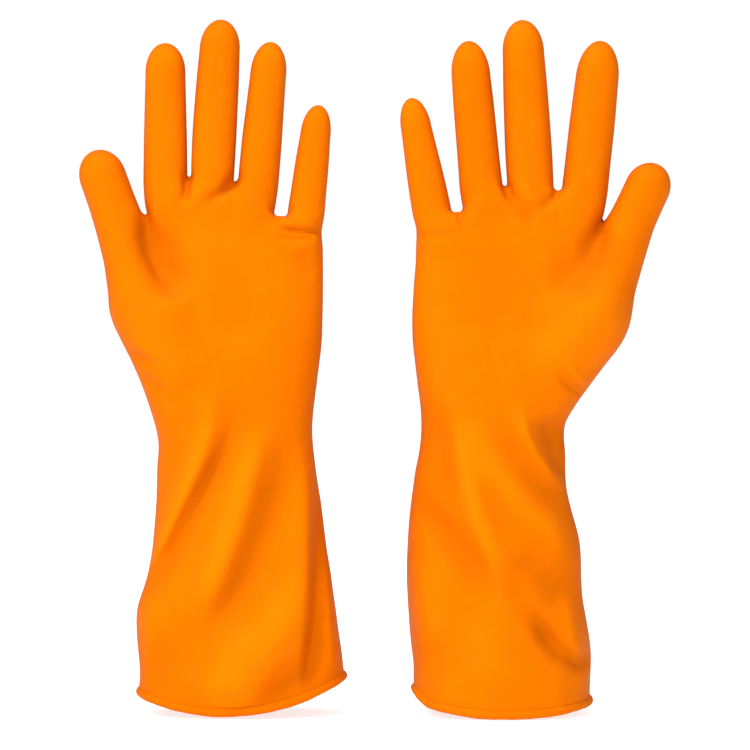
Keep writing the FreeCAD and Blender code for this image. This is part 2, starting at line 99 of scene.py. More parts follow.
# ---------------------------------------------------------------- shape of the gloves
# drawn     lowest and highest corner of the box that the tables are drawn in
# grid_x    reach of the skin's grid, and fold_x of the tables of folds
# outline   gauntlet, wrist and palm: z, then x of the -x edge and of the +x edge
# depth     z, half depth, y of the middle, squareness of the section (2 is an ellipse)
# crown     upper end of the palm: x, z
# fingers   length and radii (distance from the foot, radius), the last where the domed end
#           starts; foot_drop from the root joint down to the foot; bends, half the stretch
#           that bends at the root, middle and tip joints
# thumb     the same, with start and cap where the rod and its dome start, fold the place
#           of its joint
# clefts    crotch between neighbouring fingers: x, z, lean
# web       x and z of the bridge between the thumb's root and the palm
# hem       lower edge of the rim, the bottom of a circle: x and z of the centre, radius
GLOVES = {
    "left": dict(
        sign=-1,
        drawn=((-136.1363, -32.5528, 0.8), (-12.6799, 32.5528, 318.5687)),
        grid_x=(-140.0, -8.0),
        fold_x=(-150.0, 150.0),
        outline=[
            (-10.6, -109, -10.6), (-1.4, -108.8, -11.7), (4.6, -108.8, -12.7),
            (10.1, -108.8, -13.3), (16.6, -108, -14), (23, -108.3, -14.7),
            (30.4, -109.2, -15.6), (37.7, -109.7, -16.8), (45.1, -109.8, -17.7),
            (49.7, -109.1, -18.3), (56.1, -106.7, -19.3), (63.5, -104.4, -20.2),
            (74.5, -102.4, -22.1), (85.6, -101.4, -23.5), (96.6, -100.5, -24.8),
            (107.6, -100.2, -26.7), (115, -100.1, -27.6), (122.4, -99.1, -28.5),
            (129.7, -98.7, -29), (137.1, -99.4, -28.5), (144.4, -100.7, -27.6),
            (151.8, -102.1, -26.7), (162.8, -103.5, -25.3), (170.2, -104, -24.4),
            (189.5, -104.9, -23.9), (207, -105.8, -23.9), (225.4, -106.5, -24.2),
            (232.8, -106.5, -24.4), (240.1, -106.3, -25.3),
        ],
        depth=[
            (-15, 31.5, 0, 2.15), (10, 31.3, 0, 2.15), (32, 30.3, 0, 2.15), (56, 28, 0, 2.2),
            (85, 25.3, 0, 2.25), (112, 23.4, 0, 2.3), (131, 22.6, 0, 2.35),
            (145, 21.3, -0.3, 2.4), (165, 18.6, -0.6, 2.45), (185, 16.2, -0.8, 2.5),
            (205, 13.8, -0.5, 2.5), (222, 11.4, 0, 2.5), (236, 9.2, 0, 2.5),
            (248, 8.6, 0, 2.5),
        ],
        crown=[
            (-117.3, 223.6), (-107.2, 226.8), (-102.6, 232.8), (-96.6, 239.2), (-89.7, 242),
            (-85.1, 247), (-80, 242), (-75.4, 241), (-68.5, 241), (-63.5, 245.2),
            (-58, 238.3), (-52, 231.8), (-47.4, 228.6), (-42.8, 229.5), (-36.3, 226.3),
            (-29.9, 225.4), (-20.7, 220.8),
        ],
        fingers=dict(
            index=dict(
                length=64.4, foot_drop=9.5, bends=(8.2, 9.2, 7.5),
                radii=[(-25.3, 5.52), (-10.12, 9.43), (0, 10.17), (9.2, 10.03),
                       (20.7, 9.89), (37.26, 9.48), (51.06, 9.15)]),
            middle=dict(
                length=75.35, foot_drop=10.0, bends=(8.7, 10.0, 8.5),
                radii=[(-25.3, 5.52), (-10.12, 9.66), (0, 10.21), (7.82, 10.26),
                       (20.7, 10.21), (36.8, 9.94), (48.3, 9.71), (61.64, 9.2)]),
            ring=dict(
                length=67.02, foot_drop=10.0, bends=(8.7, 9.5, 8.0),
                radii=[(-25.3, 5.52), (-10.12, 8.97), (0, 9.57), (9.66, 9.43),
                       (20.7, 9.25), (36.8, 8.69), (52.44, 8.23)]),
            little=dict(
                length=50.05, foot_drop=7.5, bends=(6.5, 7.5, 6.0),
                radii=[(-25.3, 4.6), (-10.12, 7.82), (0, 8.56), (10.58, 8.1),
                       (18.4, 7.91), (27.6, 7.5), (36.34, 6.9)]),
        ),
        thumb=dict(
            length=30.2, cap=17.2, start=-101.0, fold=9.9,
            radii=[(-120, 6.0), (-101, 11.5), (-93.6, 12.7), (-77.6, 14.0), (-61.1, 16.5),
                   (-48, 18.1), (-41, 17.8), (-34.1, 15.6), (-19.4, 12.6), (-4.3, 11.3),
                   (6, 10.8), (18.0, 10.7)]),
        clefts=[(-85.3, 246.1, 1.2), (-63.7, 244.7, 4.6), (-43.1, 230.5, 6.2)],
        web=(-107.2, 225.6),
        hem=(-69.0, 113.8, 113.0),
    ),
    "right": dict(
        sign=1,
        drawn=((10.5263, -38.8801, 0.0), (135.8924, 38.8801, 318.3068)),
        grid_x=(4.0, 140.0),
        fold_x=(-10.0, 160.0),
        outline=[
            (-10.6, 16.6, 99.8), (-1.4, 16.8, 99.1), (5.5, 17.2, 98.9), (10.1, 17.6, 98.7),
            (16.6, 17.7, 99), (23, 17.7, 99.4), (30.4, 16.6, 99.2), (37.7, 15.9, 98.1),
            (45.1, 15.4, 96.8), (51.5, 15, 95.5), (59.8, 14.6, 94.9), (69.9, 14.6, 94.8),
            (78.2, 15, 94.3), (85.6, 15.4, 92.5), (92.9, 16.1, 90.3), (100.3, 17, 88.5),
            (104, 17.6, 87.8), (111.3, 18.5, 87.5), (118.7, 20.2, 87.6), (126, 21.1, 86.9),
            (129.7, 21.3, 86.2), (133.9, 21.3, 86), (140.8, 20.9, 87.9),
            (148.1, 19.9, 91.1), (155.5, 19, 94.3), (170.2, 17.3, 99.8), (181.2, 17, 102.6),
            (192.3, 17.6, 104.4), (199.6, 18.1, 104.9), (207, 18.8, 105.1),
            (218, 18.9, 105.3), (221.7, 18.2, 105.3), (229.1, 17.2, 105.1),
            (235.5, 17.9, 104.4),
        ],
        depth=[
            (-15, 37.3, 0, 2.1), (10, 37, 0, 2.1), (27, 36.2, 0, 2.1), (47, 34, 0, 2.1),
            (67, 30.6, 0, 2.15), (89, 27, 0, 2.2), (112, 24, 0, 2.3), (131, 22.6, 0, 2.35),
            (145, 21.3, -0.3, 2.4), (165, 18.8, -0.6, 2.45), (185, 16.4, -0.8, 2.5),
            (205, 14.0, -0.5, 2.5), (222, 11.6, 0, 2.5), (236, 9.4, 0, 2.5),
            (248, 8.8, 0, 2.5),
        ],
        crown=[
            (13.8, 220.8), (23, 225.4), (31.7, 228.2), (37.3, 231.4), (41.9, 230.5),
            (45.1, 233.7), (48.8, 237.4), (54.7, 239.7), (59.3, 242.9), (64.4, 240.1),
            (71.8, 240.1), (78.7, 238.7), (84.2, 241.5), (90.2, 237.4), (94.3, 235.1),
            (98.9, 231.8), (105.8, 222.6), (115, 219),
        ],
        fingers=dict(
            index=dict(
                length=69.92, foot_drop=10.0, bends=(8.7, 10.0, 8.0),
                radii=[(-25.3, 5.52), (-10.12, 9.89), (0, 10.58), (11.96, 10.44),
                       (30.36, 10.44), (41.4, 10.17), (52.44, 9.84)]),
            middle=dict(
                length=76.91, foot_drop=10.0, bends=(8.7, 10.0, 9.0),
                radii=[(-25.3, 5.52), (-10.12, 10.12), (0, 10.67), (13.8, 10.81),
                       (28.06, 10.58), (39.1, 10.35), (50.14, 9.98), (62.1, 9.48)]),
            ring=dict(
                length=67.44, foot_drop=10.0, bends=(8.7, 9.5, 8.0),
                radii=[(-25.3, 5.52), (-10.12, 9.2), (0, 9.98), (9.66, 9.66),
                       (28.06, 9.43), (39.1, 9.29), (51.52, 8.88)]),
            little=dict(
                length=53.36, foot_drop=8.0, bends=(7.0, 8.0, 6.3),
                radii=[(-25.3, 4.6), (-10.12, 8.05), (0, 9.02), (10.12, 8.74),
                       (18.4, 8.33), (27.6, 7.73), (39.1, 6.99)]),
        ),
        thumb=dict(
            length=24.9, cap=12.8, start=-98.0, fold=4.7,
            radii=[(-118, 4.0), (-103, 6.0), (-95.1, 9.3), (-86, 12.2), (-78.8, 14.2),
                   (-69.8, 16.4), (-62, 18.4), (-55.9, 19.5), (-49, 19.4), (-44.1, 18.4),
                   (-33.5, 15.2), (-18.3, 12.8), (-3.2, 10.6), (6, 10.4), (13.6, 10.4)]),
        clefts=[(37.7, 232.3, -7.8), (59.8, 243.3, -4.2), (84, 241, 1.7)],
        web=(105.6, 222),
        hem=(61.3, 182.0, 182.0),
    ),
}

# Folds and creases: height (less than nothing is a valley), width on the -x side and on the
# +x side of a line that runs downwards, then the line as (x, z).
FRONT_FOLDS = {
    "left": [
        # two long folds, each with its valley, that run down and outwards from the wrist
        (3.3, 6.5, 4.2, [(-73.6, 155), (-75.4, 129.7), (-80, 115), (-85.1, 102.6),
                         (-90.2, 90.6), (-95.7, 78.7), (-102.1, 68.5), (-113.6, 51.5)]),
        (-3.2, 3.2, 6.5, [(-61.2, 147.2), (-65.3, 129.7), (-70.8, 118.2), (-76.8, 107.6),
                          (-82.8, 97.1), (-87.9, 87.4), (-92.5, 77.7), (-98.4, 68.5),
                          (-105.3, 59.3), (-118.2, 44.2)]),
        (4.0, 8.5, 5.0, [(-48.3, 136.6), (-54.7, 115), (-58.4, 99.8), (-62.1, 85.6),
                         (-67.6, 70.8), (-72.7, 58), (-80, 41.4)]),
        (-3.5, 6.0, 8.0, [(-38.2, 134.3), (-43.2, 109.5), (-48.3, 93.8), (-54.7, 77.3),
                          (-61.2, 62.6), (-70.4, 46), (-80.5, 28.5)]),
        # the corner along the inner side, and the strip beyond it
        (2.6, 11.0, 3.2, [(-31.7, 125.1), (-30.8, 106.7), (-30.8, 88.3), (-31.3, 65.3),
                          (-32.7, 42.3), (-35, 23.9), (-37.3, 2.8)]),
        (-3.8, 3.2, 5.0, [(-25.3, 120.5), (-25.3, 97.5), (-25.8, 69.9), (-27.6, 42.3),
                          (-29.9, 22.1), (-32.2, -1.8)]),
        (2.0, 5.0, 5.0, [(-21.2, 88.3), (-19.8, 56.1), (-18.9, 33.1), (-17.9, 5.5)]),
        # the lower inner corner: a fold that runs down and outwards, and its valleys
        (4.4, 13.0, 11.0, [(-27.1, 65.3), (-41.9, 38.6), (-52.4, 24.8), (-62.1, 11),
                           (-75, -10.6)]),
        (-2.4, 6.0, 9.0, [(-26.2, 45.1), (-37.3, 28.5), (-45.5, 16.6), (-53.8, 3.7),
                          (-61.2, -9.2)]),
        (-2.4, 7.0, 8.0, [(-29, 28.5), (-36.3, 17.5), (-42.8, 8.3), (-49.2, -4.6)]),
        # swelling of the lower outer side and middle
        (1.4, 6.0, 6.0, [(-103.5, 56.1), (-104.9, 41.4), (-102.6, 25.8)]),
        (-1.7, 4.0, 6.0, [(-97.1, 44.2), (-98.4, 26.2), (-98.9, 0)]),
        (1.2, 12.0, 12.0, [(-57.5, 46.9), (-65.8, 28.5), (-74.1, 7.4)]),
        (-0.9, 9.0, 9.0, [(-82.3, 56.1), (-86.9, 33.1), (-91.5, 10.1)]),
        # palm: hollow below the thumb's web, creases at the clefts and under the little finger
        (-3.4, 4.5, 6.0, [(-107.6, 230), (-104.9, 219), (-101.7, 210.2), (-98, 202.4),
                          (-94.3, 193.2)]),
        (-3.3, 9.0, 9.5, [(-102.8, 223.5), (-97, 205.2), (-89.5, 186.5)]),
        (1.6, 12.0, 14.0, [(-105.3, 194.1), (-95.2, 172), (-84.2, 147.2)]),
        (-1.6, 2.4, 2.4, [(-85.1, 251.2), (-86, 242), (-87.9, 231.8)]),
        (1.0, 3.0, 3.0, [(-80.5, 242), (-83.3, 234.6), (-87.9, 227.2)]),
        (-2.2, 2.6, 3.2, [(-62.1, 251.2), (-65.8, 243.8), (-71.3, 238.3), (-79.6, 231.8)]),
        (-2.0, 1.6, 1.8, [(-45.5, 221.7), (-34.5, 221), (-18.9, 220.8)]),
        (-0.9, 1.7, 1.7, [(-46.5, 217.6), (-36.3, 217.1), (-25.3, 217.6)]),
        (-1.0, 14.0, 14.0, [(-69, 221.7), (-65.8, 194.1), (-63.9, 166.5)]),
        (-1.2, 5.0, 5.0, [(-34.5, 212.5), (-31.7, 206.1), (-29, 198.7)]),
        (1.0, 4.0, 4.0, [(-111.8, 175.7), (-105.3, 165.6), (-99.8, 156.4)]),
        (-2.0, 2.6, 2.6, [(-113.6, 165.6), (-106.3, 162.8), (-98.9, 158.2)]),
        (-1.6, 2.4, 2.4, [(-109, 155.5), (-102.6, 152.7), (-96.1, 147.2)]),
    ],
    "right": [
        # gauntlet
        (3.4, 5.5, 8.0, [(36.3, 141.7), (39.1, 121.4), (42.3, 104.9), (46.5, 90.2),
                         (52, 75.4), (59.8, 54.3)]),
        (-2.6, 11.0, 6.0, [(26.7, 148.1), (28.1, 125.1), (29.9, 106.7), (32.7, 90.2)]),
        (-4.2, 6.0, 7.0, [(15.2, 104), (24.4, 91.1), (33.6, 81), (42.8, 69.9),
                          (55.7, 52.4)]),
        (2.6, 7.0, 7.0, [(43.7, 136.2), (54.7, 112.2), (66.7, 95.7), (79.6, 84.2),
                         (93.4, 67.2)]),
        (-1.5, 4.0, 5.0, [(47.4, 109.5), (52, 97.5), (57.5, 83.7), (63.9, 71.8)]),
        (-2.8, 6.0, 5.5, [(55.7, 138), (64.9, 119.6), (75, 105.8), (90.6, 92)]),
        (-2.8, 8.0, 8.0, [(60.3, 76.8), (74.1, 63.5), (92.5, 49.7)]),
        (-2.2, 5.0, 5.0, [(56.6, 67.2), (66.7, 51.5), (75, 38.6), (83.3, 23.9)]),
        (-3.6, 3.8, 4.4, [(71.3, 48.8), (77.3, 36.8), (83.7, 28.5), (92, 23.9),
                          (108.1, 27.6)]),
        (1.5, 4.0, 4.5, [(85.1, 58), (89.7, 41.4), (93.4, 23.9)]),
        (1.9, 9.0, 9.0, [(19.3, 75.4), (21.6, 51.5), (26.2, 28.5)]),
        (1.0, 10.0, 10.0, [(43.7, 46.9), (52.9, 28.5), (57.5, 10.1)]),
        # the pocket below the ball of the thumb and the crest beside it
        (2.6, 7.0, 2.6, [(66.2, 142.6), (68.5, 128.8), (73.6, 117.8), (81, 109.5),
                         (88.8, 103)]),
        (-5.2, 5.0, 9.0, [(76.4, 138), (80, 127), (85.1, 115.9), (90.6, 105.8)]),
        # palm
        (-2.4, 5.0, 5.0, [(104.9, 229.1), (102.6, 219.9), (99.4, 211.6), (94.8, 202.4)]),
        (-3.0, 9.0, 9.0, [(112, 217.5), (98.5, 204.2), (79, 193.5)]),
        (2.4, 12.0, 14.0, [(110.9, 200.6), (98.9, 180.3), (86, 168.4), (66.7, 154.6)]),
        (-2.2, 3.0, 4.0, [(58.4, 244.7), (62.1, 236.9), (66.2, 230.9), (74.1, 221.7)]),
        (1.0, 4.0, 4.0, [(64.9, 243.8), (68.5, 237.4), (73.1, 230.9)]),
        (-1.2, 2.4, 2.4, [(84.6, 239.2), (80, 234.6), (75, 230)]),
        (-0.9, 1.8, 2.0, [(38.2, 230), (40, 224.5), (42.8, 219)]),
        (-0.7, 2.2, 1.8, [(15.2, 219.4), (25.3, 218.7), (37.3, 219)]),
        (-1.0, 14.0, 14.0, [(57.5, 219.4), (56.1, 194.1), (52.9, 166.5)]),
        (-1.7, 2.4, 2.4, [(81.4, 157.3), (88.8, 150.4), (98.9, 144.4)]),
        (0.9, 2.4, 2.4, [(86.9, 159.2), (92.5, 153.6), (98.9, 149)]),
    ],
}
# on each back: folds of the gauntlet, then a ridge below each finger, then the clefts
BACK_FOLDS = {
    "left": [
        (1.6, 6.0, 6.0, [(-39.1, 134.3), (-52, 111.3), (-62.1, 83.7), (-69, 60.7)]),
        (-2.0, 5.0, 6.0, [(-34.5, 120.5), (-42.8, 97.5), (-52, 69.9), (-57.5, 46.9)]),
        (1.8, 8.0, 7.0, [(-80.5, 125.1), (-85.1, 97.5), (-93.4, 69.9), (-98.9, 46.9)]),
        (-1.6, 6.0, 6.0, [(-73.6, 111.3), (-78.2, 83.7), (-85.1, 56.1)]),
        (1.4, 12.0, 12.0, [(-34.5, 69.9), (-43.7, 42.3), (-57.5, 19.3)]),
        (-1.8, 5.0, 5.0, [(-25.3, 51.5), (-34.5, 33.1), (-48.3, 19.3)]),
        (1.1, 9.0, 9.0, [(-96.6, 235.5), (-94.3, 212.5), (-89.7, 184.9)]),
        (1.1, 9.0, 9.0, [(-75.4, 235.5), (-75, 212.5), (-73.6, 184.9)]),
        (1.1, 9.0, 9.0, [(-54.3, 233.2), (-56.6, 212.5), (-58.9, 184.9)]),
        (1.0, 8.0, 8.0, [(-32.2, 222.6), (-36.8, 205.6), (-43.7, 180.3)]),
        (-1.4, 2.4, 2.6, [(-85.1, 242), (-84.6, 235.5), (-83.7, 228.2)]),
        (-1.4, 2.4, 2.6, [(-63.5, 240.1), (-64.4, 233.7), (-65.3, 226.3)]),
        (-1.4, 2.4, 2.6, [(-42.8, 228.2), (-44.6, 221.7), (-46.9, 215.3)]),
    ],
    "right": [
        (1.6, 6.0, 6.0, [(29.9, 129.7), (43.7, 106.7), (52.9, 79.1), (59.8, 56.1)]),
        (-2.0, 6.0, 5.0, [(23, 115.9), (34.5, 88.3), (43.7, 60.7), (48.3, 42.3)]),
        (1.7, 8.0, 7.0, [(75.9, 125.1), (79.6, 97.5), (82.8, 69.9), (85.1, 46.9)]),
        (-1.7, 6.0, 6.0, [(64.4, 111.3), (70.4, 83.7), (73.6, 56.1)]),
        (1.4, 12.0, 12.0, [(25.3, 69.9), (36.8, 42.3), (52.9, 19.3)]),
        (-1.8, 5.0, 5.0, [(19.8, 46.9), (29.9, 30.8), (43.7, 18.4)]),
        (1.1, 9.0, 9.0, [(94.3, 230.9), (89.7, 207.9), (84.2, 180.3)]),
        (1.1, 9.0, 9.0, [(71.3, 233.2), (69.5, 207.9), (66.7, 180.3)]),
        (1.1, 9.0, 9.0, [(49.2, 233.2), (49.2, 207.9), (49.7, 180.3)]),
        (1.0, 8.0, 8.0, [(27.1, 222.6), (30.8, 203.3), (35.4, 180.3)]),
        (-1.4, 2.4, 2.6, [(37.7, 228.6), (39.6, 221.7), (41.4, 215.3)]),
        (-1.4, 2.4, 2.6, [(59.8, 240.1), (59.8, 233.7), (59.8, 226.3)]),
        (-1.4, 2.4, 2.6, [(84.2, 237.8), (82.8, 230.9), (81, 223.6)]),
    ],
}


# ---------------------------------------------------------------- smooth arithmetic
def smooth_min(a, b, blend):
    t = np.clip(0.5 + 0.5 * (b - a) / blend, 0, 1)
    return b * (1 - t) + a * t - blend * t * (1 - t)


def smooth_max(a, b, blend):
    return -smooth_min(-a, -b, blend)


def smoothstep(low, high, value):
    t = np.clip((value - low) / (high - low), 0, 1)
    return t * t * (3 - 2 * t)


def unit_rows(vectors, least):
    return vectors / np.maximum(np.linalg.norm(vectors, axis=1), least)[:, None]


def mm(point):
    return np.array(point, float) * 1000.0


def joint_at(name):
    return mm(JOINTS[name]["pos_m"])


class Curve:
    """Rows (place, value), straight between rows, then blurred so no kink shows in the skin."""

    STEP = 0.25

    def __init__(self, rows, blur):
        at, values = np.array(rows, float).T
        count = int((at[-1] - at[0] + 8 * blur) / self.STEP) + 2
        self.places = at[0] - 4 * blur + self.STEP * np.arange(count)
        half = int(3 * blur / self.STEP)
        kernel = np.exp(-0.5 * (np.arange(-half, half + 1) * self.STEP / blur) ** 2)
        kernel /= kernel.sum()
        padded = np.pad(np.interp(self.places, at, values), half, mode="edge")
        self.values = np.convolve(padded, kernel, mode="valid")

    def __call__(self, at):
        return np.interp(at, self.places, self.values)


def fold_height(folds, x, z):
    """Sum of all folds at a place on the front or the back."""
    total = np.zeros(x.shape)
    for height, minus_width, plus_width, line in folds:
        lengths = [math.dist(a, b) for a, b in zip(line, line[1:])]
        whole = sum(lengths)
        nearest = np.full(total.shape, 1e9)
        signed = np.zeros(total.shape)
        along = np.zeros(total.shape)
        done = 0.0
        for a, b, length in zip(line, line[1:], lengths):
            dx, dz = (b[0] - a[0]) / length, (b[1] - a[1]) / length
            run = np.clip((x - a[0]) * dx + (z - a[1]) * dz, 0, length)
            off_x, off_z = x - a[0] - run * dx, z - a[1] - run * dz
            distance = np.sqrt(off_x * off_x + off_z * off_z)
            side = np.where(off_x * dz - off_z * dx > 0, 1.0, -1.0)
            nearer = distance < nearest
            nearest = np.where(nearer, distance, nearest)
            signed = np.where(nearer, side * distance, signed)
            along = np.where(nearer, (done + run) / whole, along)
            done += length
        # on a line that runs downwards, the -x side is the positive one
        minus = smoothstep(-1.5, 1.5, signed)
        width = minus_width * minus + plus_width * (1 - minus)
        # the fold dies away towards both of its ends
        taper = smoothstep(0.0, 0.36, along + 0.04) * smoothstep(0.0, 0.36, 1.04 - along)
        total += height * taper * np.exp(-((nearest / width) ** 2))
    return total


class FoldSheet:
    """The folds of one face of a glove on a fine table, read back smoothly."""

    def __init__(self, folds, x_range):
        self.xs = np.arange(*x_range, FOLD_STEP)
        self.zs = np.arange(*FOLD_Z, FOLD_STEP)
        self.heights = fold_height(folds, *np.meshgrid(self.xs, self.zs, indexing="ij"))

    def __call__(self, x, z):
        u = np.clip((x - self.xs[0]) / FOLD_STEP, 0, len(self.xs) - 1.001)
        v = np.clip((z - self.zs[0]) / FOLD_STEP, 0, len(self.zs) - 1.001)
        i, j = np.floor(u).astype(int), np.floor(v).astype(int)
        a, b = u - i, v - j
        heights = self.heights
        return (heights[i, j] * (1 - a) * (1 - b) + heights[i + 1, j] * a * (1 - b)
                + heights[i, j + 1] * (1 - a) * b + heights[i + 1, j + 1] * a * b)


# ---------------------------------------------------------------- fingers and thumbs
class Digit:
    """A rod that leans in x and z and ends in a dome; distances along it start at its foot."""

    def __init__(self, foot, lean, table, cap, start, blur, flat, square):
        self.foot, self.lean = foot, lean
        self.direction = np.array([math.sin(lean), 0, math.cos(lean)])
        self.radius = Curve(table["radii"], blur)
        self.cap, self.dome = cap, table["length"] - cap
        self.start, self.flat, self.square = start, flat, square

    def along(self, x, z):
        """Distance along the axis, and distance across it."""
        sine, cosine = math.sin(self.lean), math.cos(self.lean)
        dx, dz = x - self.foot[0], z - self.foot[2]
        return dx * sine + dz * cosine, dx * cosine - dz * sine

    def point(self, distance):
        return self.foot + distance * self.direction

    def field(self, x, y, z):
        run, across = self.along(x, z)
        radius = np.maximum(self.radius(np.minimum(run, self.cap)), 0.4)
        deep = (y - self.foot[1]) / self.flat
        power = self.square
        off = (np.abs(across) ** power + np.abs(deep) ** power) ** (1 / power)
        up = np.maximum(run - self.cap, 0) / self.dome
        level = np.maximum(np.sqrt((off / radius) ** 2 + up * up), 1e-6)
        slope = np.sqrt((off / (level * radius * radius)) ** 2 + (up / (level * self.dome)) ** 2)
        return np.maximum((level - 1) / np.maximum(slope, 1.0 / 40.0), self.start - run)


class Finger(Digit):
    """A finger whose axis is that of the frame's joints."""

    def __init__(self, side, name):
        table = GLOVES[side]["fingers"][name]
        joints = [joint_at(f"{side}_{name}_{fold}_bend") for fold in ("root", "middle", "tip")]
        axis = (joints[2] - joints[0]) / np.linalg.norm(joints[2] - joints[0])
        foot = joints[0] - table["foot_drop"] * axis
        foot[1] = 0.0
        super().__init__(foot, math.atan2(axis[0], axis[2]), table, cap=table["radii"][-1][0],
                         start=FINGER_START, blur=2.0, flat=0.95, square=2.25)
        at = [float((joint - foot) @ self.direction) for joint in joints]
        half = table["bends"]
        self.stretches = [(a - h, a + h) for a, h in zip(at, half)]
        # below the root's bend, then midway between one bend and the next
        self.cuts = [at[0] - half[0] - 0.3]
        for i in (0, 1):
            self.cuts.append((at[i] + half[i] + at[i + 1] - half[i + 1]) / 2)


class Thumb(Digit):
    """A thumb: its joint sits a little in front of its axis and is turned about it."""

    def __init__(self, side):
        table = GLOVES[side]["thumb"]
        hinge = f"{side}_thumb_tip_bend"
        axis = JOINTS[hinge]["axis"]
        lean = math.atan2(-axis[2], axis[0])
        roll = math.atan2(axis[1], math.hypot(axis[0], axis[2]))
        direction = np.array([math.sin(lean), 0, math.cos(lean)])
        back = np.array([-math.sin(roll) * math.cos(lean), math.cos(roll),
                         math.sin(roll) * math.sin(lean)])
        foot = joint_at(hinge) + HINGE_FORWARD * back - table["fold"] * direction
        super().__init__(foot, lean, table, cap=table["cap"], start=table["start"],
                         blur=2.2, flat=1.0, square=2.0)
        self.fold = table["fold"]
        self.cut = self.fold - THUMB_CUT_BELOW


# ---------------------------------------------------------------- field of a whole glove
class Glove:
    def __init__(self, side):
        self.side = side
        table = self.table = GLOVES[side]
        self.sign = table["sign"]

        # the tables are laid into the box of the glove's nodes
        bodies = frame["record"]["behaviour"]["bodies"]
        nodes = [node for body, names in bodies.items() if body.startswith(side)
                 for node in names]
        boxes = [[mm(corner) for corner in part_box(node)] for node in nodes]
        low = np.min([box[0] for box in boxes], axis=0)
        high = np.max([box[1] for box in boxes], axis=0)
        drawn_low, drawn_high = (np.array(corner) for corner in table["drawn"])
        scale = (high - low) / (drawn_high - drawn_low)

        def place_x(x):
            return float(low[0] + (x - drawn_low[0]) * scale[0])

        def place_z(z):
            return float(low[2] + (z - drawn_low[2]) * scale[2])

        def place(points):
            return [(place_x(x), place_z(z)) for x, z in points]

        def sheet(folds):
            placed = [(*sizes, place(line)) for *sizes, line in folds[side]]
            return FoldSheet(placed, table["fold_x"])

        outline, depth = table["outline"], table["depth"]
        self.left = Curve([(place_z(z), place_x(x)) for z, x, _ in outline], blur=2.6)
        self.right = Curve([(place_z(z), place_x(x)) for z, _, x in outline], blur=2.6)
        self.half_depth = Curve([(place_z(z), half * scale[1]) for z, half, _, _ in depth], 6)
        self.middle_y = Curve([(place_z(z), y * scale[1]) for z, _, y, _ in depth], blur=6)
        self.square = Curve([(place_z(z), power) for z, _, _, power in depth], blur=6)
        self.crown = Curve(place(table["crown"]), blur=1.8)
        self.clefts = [(place_x(x), place_z(z), math.radians(lean))
                       for x, z, lean in table["clefts"]]
        self.web_x, self.web_z = place([table["web"]])[0]
        hem_x, hem_z, hem_radius = table["hem"]
        self.hem_x, self.hem_z = place_x(hem_x), place_z(hem_z)
        self.hem_radius = hem_radius * math.sqrt(scale[0] * scale[2])
        self.front_fold = sheet(FRONT_FOLDS)
        self.back_fold = sheet(BACK_FOLDS)

        self.fingers = {name: Finger(side, name) for name in FINGERS}
        self.thumb = Thumb(side)

        # where the pieces part: the wrist, the thumb's crotch and the outward normals there
        self.wrist_z = float(joint_at(f"{side}_wrist_bend")[2])
        swing = f"{side}_thumb_root_swing"
        self.crotch = joint_at(swing)
        axis = JOINTS[swing]["axis"]
        across = np.array([-axis[2], 0, axis[0]], float)
        self.across = -across if across[0] * self.sign < 0 else across
        # above the crotch the thumb and the index finger part midway between their leans
        lean = (self.thumb.lean + self.fingers["index"].lean) / 2
        self.apart = self.sign * np.array([math.cos(lean), 0, -math.sin(lean)])

    def hem(self, x):
        """Height of the lower edge of the rolled rim."""
        drop = np.maximum(self.hem_radius * self.hem_radius - (x - self.hem_x) ** 2, 1.0)
        z = self.hem_z - np.sqrt(drop)
        if self.side == "right":
            # the inner corner of the right glove's rim curls up a little
            z = z + 5.6 * (1 - smoothstep(14.0, 25.0, x))
        return z

    def body(self, x, y, z):
        """Gauntlet, wrist and palm without their folds."""
        left, right = self.left(z), self.right(z)
        middle, half = (left + right) / 2, (right - left) / 2
        deep, power = self.half_depth(z), self.square(z)
        u = np.maximum(np.abs(x - middle) / half, 1e-6)
        v = np.maximum(np.abs(y - self.middle_y(z)) / deep, 1e-6)
        level = (u ** power + v ** power) ** (1 / power)
        slope_x = level ** (1 - power) * u ** (power - 1) / half
        slope_y = level ** (1 - power) * v ** (power - 1) / deep
        slope = np.sqrt(slope_x * slope_x + slope_y * slope_y)
        tube = (level - 1) / np.maximum(slope, 1.0 / 60.0)
        return smooth_max(tube, z - self.crown(x) + 1.0, blend=9.0)

    def field(self, x, y, z):
        body = self.body(x, y, z)
        # the thumb melts into the body lower down and stands free further up
        run, _ = self.thumb.along(x, z)
        blend = 2.2 + 9.0 * (1 - smoothstep(-34.0, -6.0, run))
        out = smooth_min(body, self.thumb.field(x, y, z), blend)
        # the web: rubber that bridges the thumb's root and the palm
        web = np.sqrt((x - self.web_x) ** 2 + (y + 1.0) ** 2 * 0.5 + (z - self.web_z) ** 2)
        out = smooth_min(out, web - 3.4, blend=2.0)
        # the fingers blend more softly away from the middle of the palm's depth
        soft = 3.0 + 5.0 * smoothstep(3.0, 9.0, np.abs(y))
        for finger in self.fingers.values():
            out = np.minimum(out, smooth_min(body, finger.field(x, y, z), soft))
        # narrow clefts that part neighbouring fingers down to the web
        for cleft_x, cleft_z, lean in self.clefts:
            dx, dz = x - cleft_x, z - cleft_z
            across = dx * math.cos(lean) - dz * math.sin(lean)
            up = dx * math.sin(lean) + dz * math.cos(lean)
            slab = smooth_max(np.abs(across) - CLEFT_HALF, 0.3 - up, blend=0.9)
            out = smooth_max(out, -slab, blend=0.7)
        # folds fade towards the sides and just above the rim
        deep = (y - self.middle_y(z)) / self.half_depth(z)
        front = smoothstep(0.05, 0.75, -deep)
        back = smoothstep(0.05, 0.75, deep)
        above = smoothstep(4.0, 14.0, z - self.hem(x))
        return out - (front * self.front_fold(x, z) + back * self.back_fold(x, z)) * above

